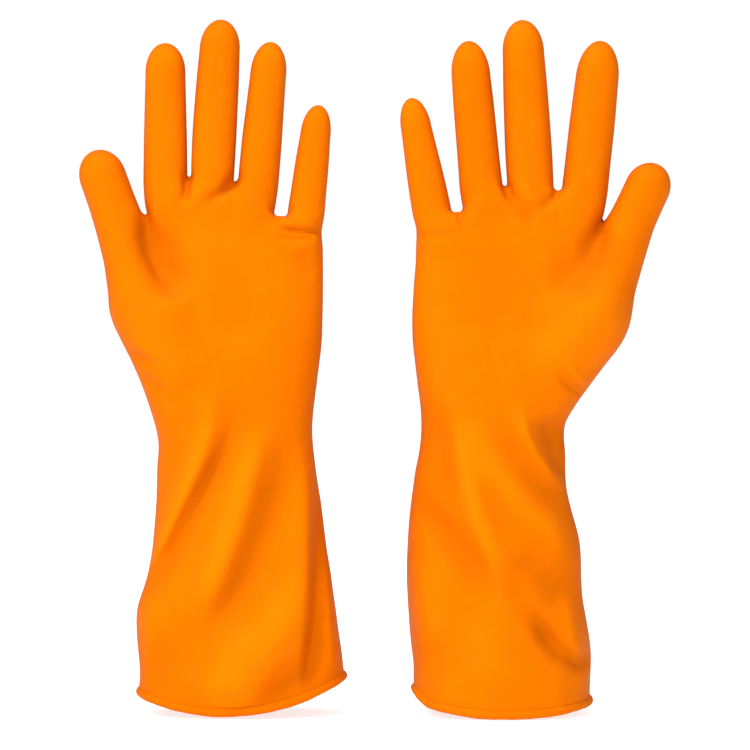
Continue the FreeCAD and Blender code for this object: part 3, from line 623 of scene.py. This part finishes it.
    def gradient(self, points, reach=0.35):
        x, y, z = points.T
        return np.stack([
            self.field(x + reach, y, z) - self.field(x - reach, y, z),
            self.field(x, y + reach, z) - self.field(x, y - reach, z),
            self.field(x, y, z + reach) - self.field(x, y, z - reach)], 1) / (2 * reach)

    def settle(self, points, rounds):
        """Moves points onto the skin."""
        for _ in range(rounds):
            value = np.clip(self.field(*points.T), -1.5, 1.5)
            slope = self.gradient(points)
            steep = np.maximum((slope * slope).sum(1), 0.05)
            points = points - value[:, None] * slope / steep[:, None]
        return points

    def relief(self, points):
        """Height of the folds at each point, from -1 in a crease to 1 on a ridge; it steers the
        painted shade and painted highlight of the rubber.
        """
        x, y, z = points.T
        height = np.where(y < 0, self.front_fold(x, z), self.back_fold(x, z))
        return np.clip(height / 3.0, -1, 1) * smoothstep(0.5, 6.0, np.abs(y))


# ---------------------------------------------------------------- net over the skin
def surface_net(glove):
    """One point in each grid cell that the skin crosses, and quads that join them."""
    low, high = np.array([glove.table["grid_x"], GRID_Y, GRID_Z]).T
    low = low + GRID_SHIFT
    size = np.ceil((high - low) / VOXEL).astype(int) + 1
    xs, ys, zs = (low[i] + VOXEL * np.arange(size[i]) for i in range(3))
    field = np.empty(size)
    slab = 24  # layers worked out at a time, to spare memory
    for k in range(0, size[2], slab):
        block = np.meshgrid(xs, ys, zs[k:k + slab], indexing="ij")
        field[:, :, k:k + slab] = glove.field(*block)
    inside = field < 0
    count = np.zeros(size - 1, np.int8)
    corners = [(i, j, k) for i in (0, 1) for j in (0, 1) for k in (0, 1)]
    for i, j, k in corners:
        count += inside[i:size[0] - 1 + i, j:size[1] - 1 + j, k:size[2] - 1 + k]
    cells = np.argwhere((count > 0) & (count < 8))
    ids = np.full(size - 1, -1, int)
    ids[tuple(cells.T)] = np.arange(len(cells))

    # each point is the mean of the crossings on its cell's edges
    values = {corner: field[tuple((cells + corner).T)] for corner in corners}
    total, hits = np.zeros((len(cells), 3)), np.zeros(len(cells))
    for corner in corners:
        for axis in range(3):
            if corner[axis]:
                continue
            other = list(corner)
            other[axis] = 1
            a, b = values[corner], values[tuple(other)]
            cross = (a < 0) != (b < 0)
            point = np.tile(np.array(corner, float), (len(cells), 1))
            point[:, axis] += np.where(cross, a / np.where(cross, a - b, 1), 0)
            total[cross] += point[cross]
            hits[cross] += 1
    points = low + VOXEL * (cells + total / hits[:, None])

    # each grid edge that the skin crosses gives a quad of the four cells round it
    quads = []
    for axis in range(3):
        a, b = (axis + 1) % 3, (axis + 2) % 3
        lower, upper = [slice(None)] * 3, [slice(None)] * 3
        lower[axis], upper[axis] = slice(0, -1), slice(1, None)
        starts_inside = inside[tuple(lower)]
        at = np.argwhere(starts_inside != inside[tuple(upper)])
        clear = (at[:, a] > 0) & (at[:, b] > 0)
        clear &= (at[:, a] < size[a] - 1) & (at[:, b] < size[b] - 1)
        at = at[clear]
        outward = starts_inside[tuple(at.T)]
        ring = []
        for step_a, step_b in ((-1, -1), (0, -1), (0, 0), (-1, 0)):
            cell = at.copy()
            cell[:, a] += step_a
            cell[:, b] += step_b
            ring.append(ids[tuple(cell.T)])
        quad = np.stack(ring, 1)
        quad[~outward] = quad[~outward][:, ::-1]
        quads.append(quad)
    quads = np.concatenate(quads)
    return points, quads[(quads >= 0).all(1)]


def relax(glove, points, quads):
    """Evens the net out along the skin."""
    edges = np.concatenate([quads[:, [0, 1]], quads[:, [1, 2]], quads[:, [2, 3]],
                            quads[:, [3, 0]]])
    edges = np.unique(np.sort(edges, 1), axis=0)
    first, second = edges.T
    count = len(points)
    degree = np.bincount(edges.ravel(), minlength=count).astype(float)
    points = glove.settle(points, rounds=2)
    for _ in range(10):
        sums = [np.bincount(first, points[second, i], count)
                + np.bincount(second, points[first, i], count) for i in range(3)]
        mean = np.stack(sums, 1) / np.maximum(degree, 1)[:, None]
        normal = unit_rows(glove.gradient(points), least=1e-6)
        move = mean - points
        move -= (move * normal).sum(1)[:, None] * normal
        points = points + 0.55 * np.where((degree > 2)[:, None], move, 0)
        points = glove.settle(points, rounds=1)
    return glove.settle(points, rounds=2)


# ---------------------------------------------------------------- materials
def rubber(name, depth=1.0):
    """Satin, mottled latex, with painted highlight on the ridges of its folds, painted shade in
    the creases and painted shade where the skin is seen edge-on.
    """
    material = bpy.data.materials.new(name)
    material.use_nodes = True
    nodes, links = material.node_tree.nodes, material.node_tree.links
    nodes.clear()
    output = nodes.new("ShaderNodeOutputMaterial")
    surface = nodes.new("ShaderNodeBsdfPrincipled")
    links.new(surface.outputs["BSDF"], output.inputs["Surface"])
    where = nodes.new("ShaderNodeTexCoord")

    def tint(red, green, blue):
        return red * depth, green * depth, blue

    def noise(scale, detail=2.0, roughness=0.5, stretch=None, distortion=0.0):
        texture = nodes.new("ShaderNodeTexNoise")
        texture.inputs["Scale"].default_value = scale
        texture.inputs["Detail"].default_value = detail
        texture.inputs["Roughness"].default_value = roughness
        texture.inputs["Distortion"].default_value = distortion
        place = where.outputs["Object"]
        if stretch:
            mapping = nodes.new("ShaderNodeMapping")
            mapping.inputs["Scale"].default_value = stretch
            links.new(place, mapping.inputs["Vector"])
            place = mapping.outputs["Vector"]
        links.new(place, texture.inputs["Vector"])
        return texture.outputs["Fac"]

    def ramp(value, *stops):
        node = nodes.new("ShaderNodeValToRGB")
        for element, (at, shade) in zip(node.color_ramp.elements, stops):
            element.position, element.color = at, (*shade, 1.0)
        links.new(value, node.inputs["Fac"])
        return node.outputs["Color"]

    def mix(factor, below, above, kind="MIX"):
        node = nodes.new("ShaderNodeMix")
        node.data_type, node.blend_type = "RGBA", kind
        # 6, 7 and output 2 are the colour sockets
        sockets = node.inputs["Factor"], node.inputs[6], node.inputs[7]
        for value, socket in zip((factor, below, above), sockets):
            if isinstance(value, float):
                socket.default_value = value
            elif isinstance(value, tuple):
                socket.default_value = (*value, 1.0)
            else:
                links.new(value, socket)
        return node.outputs[2]

    def remap(value, source, target):
        node = nodes.new("ShaderNodeMapRange")
        for end, place in (("Min", 0), ("Max", 1)):
            node.inputs[f"From {end}"].default_value = source[place]
            node.inputs[f"To {end}"].default_value = target[place]
        links.new(value, node.inputs["Value"])
        return node.outputs["Result"]

    def bump(height, strength, distance):
        node = nodes.new("ShaderNodeBump")
        node.inputs["Strength"].default_value = strength
        node.inputs["Distance"].default_value = distance
        links.new(height, node.inputs["Height"])
        return node

    # colour: broad drift of the pigment, finer mottling, upright streaks, then painted shade in
    # the creases and painted highlight on the ridges of the folds
    white = (1.0, 1.0, 1.0)
    colour = ramp(noise(scale=16.0), (0.30, tint(0.745, 0.150, 0.0003)),
                  (0.70, tint(0.785, 0.169, 0.0005)))
    mottle = ramp(noise(scale=150.0, detail=4.0, roughness=0.6),
                  (0.32, (0.93, 0.90, 0.85)), (0.68, white))
    colour = mix(0.55, colour, mottle, "MULTIPLY")
    streaks = ramp(noise(scale=60.0, detail=3.0, roughness=0.55, stretch=(1.0, 1.0, 0.16)),
                   (0.30, (0.95, 0.92, 0.85)), (0.72, white))
    colour = mix(0.6, colour, streaks, "MULTIPLY")
    # painted shade: the creases of the folds are darkened; painted highlight: their ridges are
    # made paler
    relief = nodes.new("ShaderNodeAttribute")
    relief.attribute_name = "relief"
    crease = remap(relief.outputs["Fac"], source=(-0.04, -1.0), target=(0.0, 0.42))
    ridge = remap(relief.outputs["Fac"], source=(0.10, 1.0), target=(0.0, 0.5))
    colour = mix(crease, colour, tint(0.55, 0.104, 0.0006))
    colour = mix(ridge, colour, tint(0.84, 0.214, 0.0012))
    # painted shade: the colour darkens where the skin is seen edge-on
    facing = nodes.new("ShaderNodeLayerWeight")
    facing.inputs["Blend"].default_value = 0.42
    deep = remap(facing.outputs["Facing"], source=(0.12, 0.95), target=(0.0, 0.85))
    colour = mix(deep, colour, mix(1.0, colour, (0.58, 0.52, 0.5), "MULTIPLY"))
    links.new(colour, surface.inputs["Base Color"])

    # sheen: uneven, and rubbed smoother on the ridges
    rough = remap(noise(scale=45.0, detail=4.0, roughness=0.6),
                  source=(0.3, 0.7), target=(0.44, 0.56))
    rubbed = nodes.new("ShaderNodeMath")
    rubbed.operation = "MULTIPLY_ADD"
    links.new(ridge, rubbed.inputs[0])
    rubbed.inputs[1].default_value = -0.10
    links.new(rough, rubbed.inputs[2])
    links.new(rubbed.outputs[0], surface.inputs["Roughness"])
    surface.inputs["IOR"].default_value = 1.5
    surface.inputs["Specular IOR Level"].default_value = 0.02
    surface.inputs["Specular Tint"].default_value = (1.0, 0.45, 0.02, 1.0)

    # fine pebbling over faint runs left by dipping, over slow waviness
    runs = noise(scale=110.0, stretch=(1.0, 1.0, 0.22), distortion=0.4)
    layers = [
        bump(noise(scale=1500.0, detail=3.0, roughness=0.6), strength=0.35, distance=0.00012),
        bump(runs, strength=0.40, distance=0.0006),
        bump(noise(scale=26.0, detail=1.0), strength=0.35, distance=0.0030),
    ]
    for upper, lower in zip(layers, layers[1:]):
        links.new(lower.outputs["Normal"], upper.inputs["Normal"])
    links.new(layers[0].outputs["Normal"], surface.inputs["Normal"])
    return material


SKIN = rubber("rubber_skin")
RIM = rubber("rubber_rim", depth=0.96)


# ---------------------------------------------------------------- pieces
def new_piece(name, verts, faces, relief, material, normals=None):
    """A mesh object from points in millimetres, with a relief value on each vertex."""
    mesh = bpy.data.meshes.new(name)
    mesh.from_pydata((verts * 0.001).tolist(), [], faces)
    mesh.materials.append(material)
    mesh.polygons.foreach_set("use_smooth", [True] * len(mesh.polygons))
    attribute = mesh.attributes.new("relief", "FLOAT", "POINT")
    attribute.data.foreach_set("value", np.asarray(relief, np.float32))
    mesh.update()
    if normals is not None:
        mesh.normals_split_custom_set(normals)
    piece = bpy.data.objects.new(name, mesh)
    bpy.context.scene.collection.objects.link(piece)
    return piece


def shell(name, verts, faces, normals, relief):
    """Closes a patch of skin into a thin solid: outer sheet, inner sheet, strip round them."""
    used = np.unique(np.concatenate([np.asarray(face) for face in faces]))
    index = np.full(len(verts), -1)
    index[used] = np.arange(len(used))
    outer, normal, relief = verts[used], normals[used], relief[used]
    faces = [[int(index[i]) for i in face] for face in faces]
    count = len(used)
    inner = outer - WALL * normal
    edges = dict.fromkeys(edge for face in faces for edge in zip(face, face[1:] + face[:1]))
    all_faces = list(faces)
    loops = [normal[i] for face in faces for i in face]
    for face in faces:
        all_faces.append([i + count for i in reversed(face)])
        loops += [-normal[i] for i in reversed(face)]
    for i, j in edges:
        if (j, i) in edges:
            continue
        all_faces.append([j, i, i + count, j + count])
        strip = np.cross(outer[i] - outer[j], inner[i] - outer[j])
        length = np.linalg.norm(strip)
        loops += [strip / length if length > 1e-9 else normal[i]] * 4
    return new_piece(name, np.concatenate([outer, inner]), all_faces,
                     np.concatenate([relief, relief]), SKIN,
                     normals=[tuple(map(float, loop)) for loop in loops])


def reindex(bm):
    for part in (bm.verts, bm.edges, bm.faces):
        part.index_update()


def plane_cut(bm, point, normal, near=None):
    """Cuts the skin along a plane, only among the vertices that near() picks."""
    bm.verts.ensure_lookup_table()
    places = np.array([v.co[:] for v in bm.verts])
    close = np.abs((places - np.array(point)) @ np.array(normal)) < 2.5 * VOXEL
    if near:
        close &= near(places)
    faces = {face for i in np.flatnonzero(close) for face in bm.verts[i].link_faces}
    edges = {edge for face in faces for edge in face.edges}
    verts = {vert for face in faces for vert in face.verts}
    geom = [item for part in (verts, edges, faces)
            for item in sorted(part, key=lambda item: item.index)]
    bmesh.ops.bisect_plane(bm, geom=geom, dist=1e-4, plane_co=Vector(point),
                           plane_no=Vector(normal), clear_inner=False, clear_outer=False)
    reindex(bm)


def trim_hem(bm, glove):
    """Ends the skin inside the rim: a level cut once the curve of the rim is taken off."""
    for vert in bm.verts:
        vert.co.z -= float(glove.hem(vert.co.x))
    bmesh.ops.bisect_plane(bm, geom=bm.verts[:] + bm.edges[:] + bm.faces[:], dist=1e-4,
                           plane_co=Vector((0, 0, HEM_RISE)), plane_no=Vector((0, 0, 1)),
                           clear_inner=True)
    for vert in bm.verts:
        vert.co.z += float(glove.hem(vert.co.x))
    reindex(bm)


def cut_skin(bm, glove):
    """Cuts the skin along the borders of its pieces."""
    for z in (glove.wrist_z - WRIST_HALF, glove.wrist_z + WRIST_HALF):
        plane_cut(bm, (0, 0, z), (0, 0, 1))
    for finger in glove.fingers.values():
        for cut in finger.cuts:
            radius = float(finger.radius(cut)) + 0.75
            plane_cut(bm, finger.point(cut), finger.direction,
                      lambda at: np.abs(finger.along(at[:, 0], at[:, 2])[1]) < radius)

    crotch, thumb = glove.crotch, glove.thumb

    def outwards(at):
        return (at[:, 0] - crotch[0]) * glove.sign

    def below(at):
        rise = at[:, 2]
        return (rise < crotch[2] + 0.8) & (rise > crotch[2] - 60) & (outwards(at) > -1.5)

    def above(at):
        rise = at[:, 2]
        return ((rise > crotch[2] - 0.2) & (rise < crotch[2] + 5)
                & (np.abs(at[:, 0] - crotch[0]) < 2.5))

    def round_thumb(at):
        return (np.abs(thumb.along(at[:, 0], at[:, 2])[1]) < 14) & (outwards(at) > 0)

    plane_cut(bm, crotch, glove.across, below)
    plane_cut(bm, crotch, glove.apart, above)
    plane_cut(bm, thumb.point(thumb.cut), thumb.direction, round_thumb)


def sort_faces(glove, centres):
    """Name of the piece that each face belongs to."""
    side = glove.side
    x, z = centres[:, 0], centres[:, 2]
    wrist_top = glove.wrist_z + WRIST_HALF
    region = np.full(len(centres), f"{side}_hand", object)
    region[z < wrist_top] = f"{side}_wrist"
    region[z < glove.wrist_z - WRIST_HALF] = f"{side}_gauntlet"
    from_crotch = centres - glove.crotch
    thumb = np.where(z > glove.crotch[2], from_crotch @ glove.apart > 0,
                     (from_crotch @ glove.across > 0) & (z > wrist_top + 4))
    run = glove.thumb.along(x, z)[0]
    region[thumb & (run < glove.thumb.cut)] = f"{side}_thumb_root"
    region[thumb & (run >= glove.thumb.cut)] = f"{side}_thumb_end"
    # a face goes to the finger whose axis is nearest for its radius
    best, which = np.full(len(centres), 1e9), np.full(len(centres), -1)
    for i, finger in enumerate(glove.fingers.values()):
        run, across = finger.along(x, z)
        ratio = np.abs(across) / finger.radius(run)
        pick = (run > finger.cuts[0]) & (ratio < best) & ~thumb
        best[pick], which[pick] = ratio[pick], i
    for i, (name, finger) in enumerate(glove.fingers.items()):
        run = finger.along(x, z)[0]
        mine = (which == i) & (best < 1.35)
        _, second, third = finger.cuts
        region[mine & (run < second)] = f"{side}_{name}_root"
        region[mine & (run >= second) & (run < third)] = f"{side}_{name}_mid"
        region[mine & (run >= third)] = f"{side}_{name}_end"
    return region


def attach(glove, pieces):
    """Ties the gauntlet and hand pieces to their bodies, bakes the other pieces in place, and
    hides the frame's parts that the pieces stand for.
    """
    side = glove.side
    gauntlet, hand = f"{side}_gauntlet", f"{side}_hand"
    for body in (gauntlet, hand):
        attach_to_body(pieces[body], body)
        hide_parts(body)
    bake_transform(pieces[f"{side}_wrist"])
    for name, finger in glove.fingers.items():
        bodies = [hand] + [f"{side}_{name}_{part}" for part in ("base", "middle", "tip")]
        for i, part in enumerate(("root", "mid", "end")):
            piece = pieces[f"{side}_{name}_{part}"]
            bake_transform(piece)
            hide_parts(bodies[i + 1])
    base, tip = f"{side}_thumb_base", f"{side}_thumb_tip"
    root, end = pieces[f"{side}_thumb_root"], pieces[f"{side}_thumb_end"]
    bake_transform(root)
    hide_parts(base)
    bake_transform(end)
    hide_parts(tip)


def skin(glove):
    points, quads = surface_net(glove)
    points = relax(glove, points, quads)
    bm = bmesh.new()
    made = [bm.verts.new(point) for point in points.tolist()]
    for quad in quads.tolist():
        bm.faces.new([made[i] for i in quad])
    reindex(bm)
    trim_hem(bm, glove)
    cut_skin(bm, glove)
    verts = np.array([vert.co[:] for vert in bm.verts])
    faces = [[vert.index for vert in face.verts] for face in bm.faces]
    centres = np.array([face.calc_center_median()[:] for face in bm.faces])
    bm.free()

    normals = unit_rows(glove.gradient(verts), least=1e-9)
    # the relief steers the painted shade in the creases and the painted highlight on the ridges
    relief = glove.relief(verts)
    region = sort_faces(glove, centres)
    pieces = {}
    for key in sorted(set(region)):
        patch = [faces[i] for i in np.flatnonzero(region == key)]
        pieces[key] = shell("skin_" + key, verts, patch, normals, relief)
    attach(glove, pieces)


def rolled_rim(glove):
    """The rim: the end of the skin rolled on itself, a rounded cord that is not quite even."""
    turns, ring = ((420, 20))
    angle = 2 * math.pi * np.arange(turns) / turns

    def on_hem(x, y):
        return np.stack([x, y, glove.hem(x) + HEM_RISE], 1)

    # an ellipse, drawn onto the skin
    middle_z = float(glove.hem(glove.hem_x)) + HEM_RISE
    left, right = float(glove.left(middle_z)), float(glove.right(middle_z))
    x = (left + right) / 2 + (right - left) / 2 * np.cos(angle)
    y = float(glove.half_depth(middle_z)) * np.sin(angle)
    for _ in range(12):
        path = on_hem(x, y)
        value, slope = glove.field(*path.T), glove.gradient(path)
        steep = np.maximum(slope[:, 0] ** 2 + slope[:, 1] ** 2, 0.05)
        x, y = x - value * slope[:, 0] / steep, y - value * slope[:, 1] / steep
    # even spacing along the cord
    for _ in range(3):
        path = on_hem(x, y)
        closed = np.vstack([path, path[:1]])
        steps = np.linalg.norm(np.diff(closed, axis=0), axis=1)
        run = np.concatenate([[0], np.cumsum(steps)])
        even = np.linspace(0, run[-1], turns + 1)[:-1]
        x, y = np.interp(even, run, closed[:, 0]), np.interp(even, run, closed[:, 1])
    path = on_hem(x, y)
    along = np.roll(path, -1, 0) - np.roll(path, 1, 0)
    along /= np.linalg.norm(along, axis=1)[:, None]
    slope = glove.gradient(path)
    out = slope - (slope * along).sum(1)[:, None] * along
    out /= np.linalg.norm(out, axis=1)[:, None]
    up = np.cross(along, out)
    up[up[:, 2] < 0] *= -1

    uneven = (1 + 0.05 * np.sin(3 * angle + 0.7 + glove.sign) + 0.04 * np.sin(7 * angle + 2.1)
              + 0.03 * np.sin(13 * angle + 0.4) + 0.02 * np.sin(29 * angle))
    height, thick = 2.05 * uneven, 1.55 * uneven
    section = 2 * math.pi * np.arange(ring) / ring
    # the section is slightly lopsided
    width = thick[:, None] * (1.0 + 0.10 * np.cos(2 * section + 0.8)) * np.cos(section)
    rise = height[:, None] * np.sin(section)
    core = path - 0.35 * out
    verts = core[:, None] + width[..., None] * out[:, None] + rise[..., None] * up[:, None]
    faces = []
    for i in range(turns):
        here, ahead = i * ring, (i + 1) % turns * ring
        for k in range(ring):
            m = (k + 1) % ring
            faces.append([ahead + k, ahead + m, here + m, here + k])
    piece = new_piece(f"rim_{glove.side}", verts.reshape(-1, 3), faces,
                      np.zeros(turns * ring), RIM)
    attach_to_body(piece, f"{glove.side}_gauntlet")
    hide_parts(f"{glove.side}_rolled_rim")


# ---------------------------------------------------------------- floor, light, camera
def studio_floor(reach=30.0, gap=0.0004):
    """A wide pale square, a little below the gloves."""
    mesh = bpy.data.meshes.new("studio_floor")
    z = cad_lo.z - gap
    corners = [(-reach, -reach, z), (reach, -reach, z), (reach, reach, z), (-reach, reach, z)]
    mesh.from_pydata(corners, [], [(0, 1, 2, 3)])
    floor = bpy.data.objects.new("studio_floor", mesh)
    bpy.context.scene.collection.objects.link(floor)
    pale = bpy.data.materials.new("studio_floor")
    pale.use_nodes = True
    inputs = pale.node_tree.nodes["Principled BSDF"].inputs
    inputs["Base Color"].default_value = (0.62, 0.62, 0.61, 1)
    inputs["Roughness"].default_value = 0.9
    inputs["Specular IOR Level"].default_value = 0.1
    inputs["Emission Color"].default_value = (1, 1, 1, 1)
    inputs["Emission Strength"].default_value = 0.76
    mesh.materials.append(pale)


def studio_world():
    """Plain white to the camera; as light, brightest from the upper left on its side."""
    world = bpy.data.worlds.new("studio")
    bpy.context.scene.world = world
    world.use_nodes = True
    nodes, links = world.node_tree.nodes, world.node_tree.links
    room = nodes["Background"]
    room.inputs["Color"].default_value = (1.0, 1.0, 1.0, 1)
    direction = nodes.new("ShaderNodeTexCoord")
    dot = nodes.new("ShaderNodeVectorMath")
    dot.operation = "DOT_PRODUCT"
    dot.inputs[1].default_value = Vector((-0.30, -0.66, 0.66)).normalized()
    links.new(direction.outputs["Generated"], dot.inputs[0])
    level = nodes.new("ShaderNodeMapRange")
    levels = {"From Min": -0.9, "From Max": 1.0, "To Min": 0.36, "To Max": 0.86}
    for socket, value in levels.items():
        level.inputs[socket].default_value = value
    links.new(dot.outputs["Value"], level.inputs["Value"])
    seen = nodes.new("ShaderNodeLightPath")
    pick = nodes.new("ShaderNodeMix")
    pick.data_type = "FLOAT"
    links.new(seen.outputs["Is Camera Ray"], pick.inputs[0])
    links.new(level.outputs["Result"], pick.inputs[2])
    pick.inputs[3].default_value = 1.03  # strength of the white that the camera sees
    links.new(pick.outputs[0], room.inputs["Strength"])


def softbox(name, place, size, power):
    """A square lamp that faces the middle of the gloves."""
    data = bpy.data.lights.new(name, "AREA")
    data.shape, data.size, data.energy = "SQUARE", size, power
    lamp = bpy.data.objects.new(name, data)
    lamp.location = place
    aim = (cad_lo + cad_hi) / 2 - Vector(place)
    lamp.rotation_euler = aim.to_track_quat("-Z", "Y").to_euler()
    bpy.context.scene.collection.objects.link(lamp)


def front_camera(distance, height, view_width, sensor=36.0):
    """Looks level along +y; view_width is what it takes in at the gloves."""
    scene = bpy.context.scene
    data = bpy.data.cameras.new("camera")
    camera = bpy.data.objects.new("camera", data)
    scene.collection.objects.link(camera)
    camera.location = (0.0, -distance, height)
    camera.rotation_euler = (math.radians(90), 0, 0)
    data.sensor_width = sensor
    data.lens = sensor * distance / view_width
    data.shift_y = 0.00006
    scene.camera = camera


for side in ("left", "right"):
    glove = Glove(side)
    skin(glove)
    rolled_rim(glove)

studio_floor()
studio_world()
softbox("key", place=(-1.25, -0.95, 1.65), size=0.7, power=24.0)
softbox("top", place=(-0.1, -0.35, 2.0), size=0.9, power=23.0)
front_camera(distance=1.6, height=0.155, view_width=0.345)
bpy.context.scene.view_settings.view_transform = "Standard"
bpy.context.scene.view_settings.look = "None"
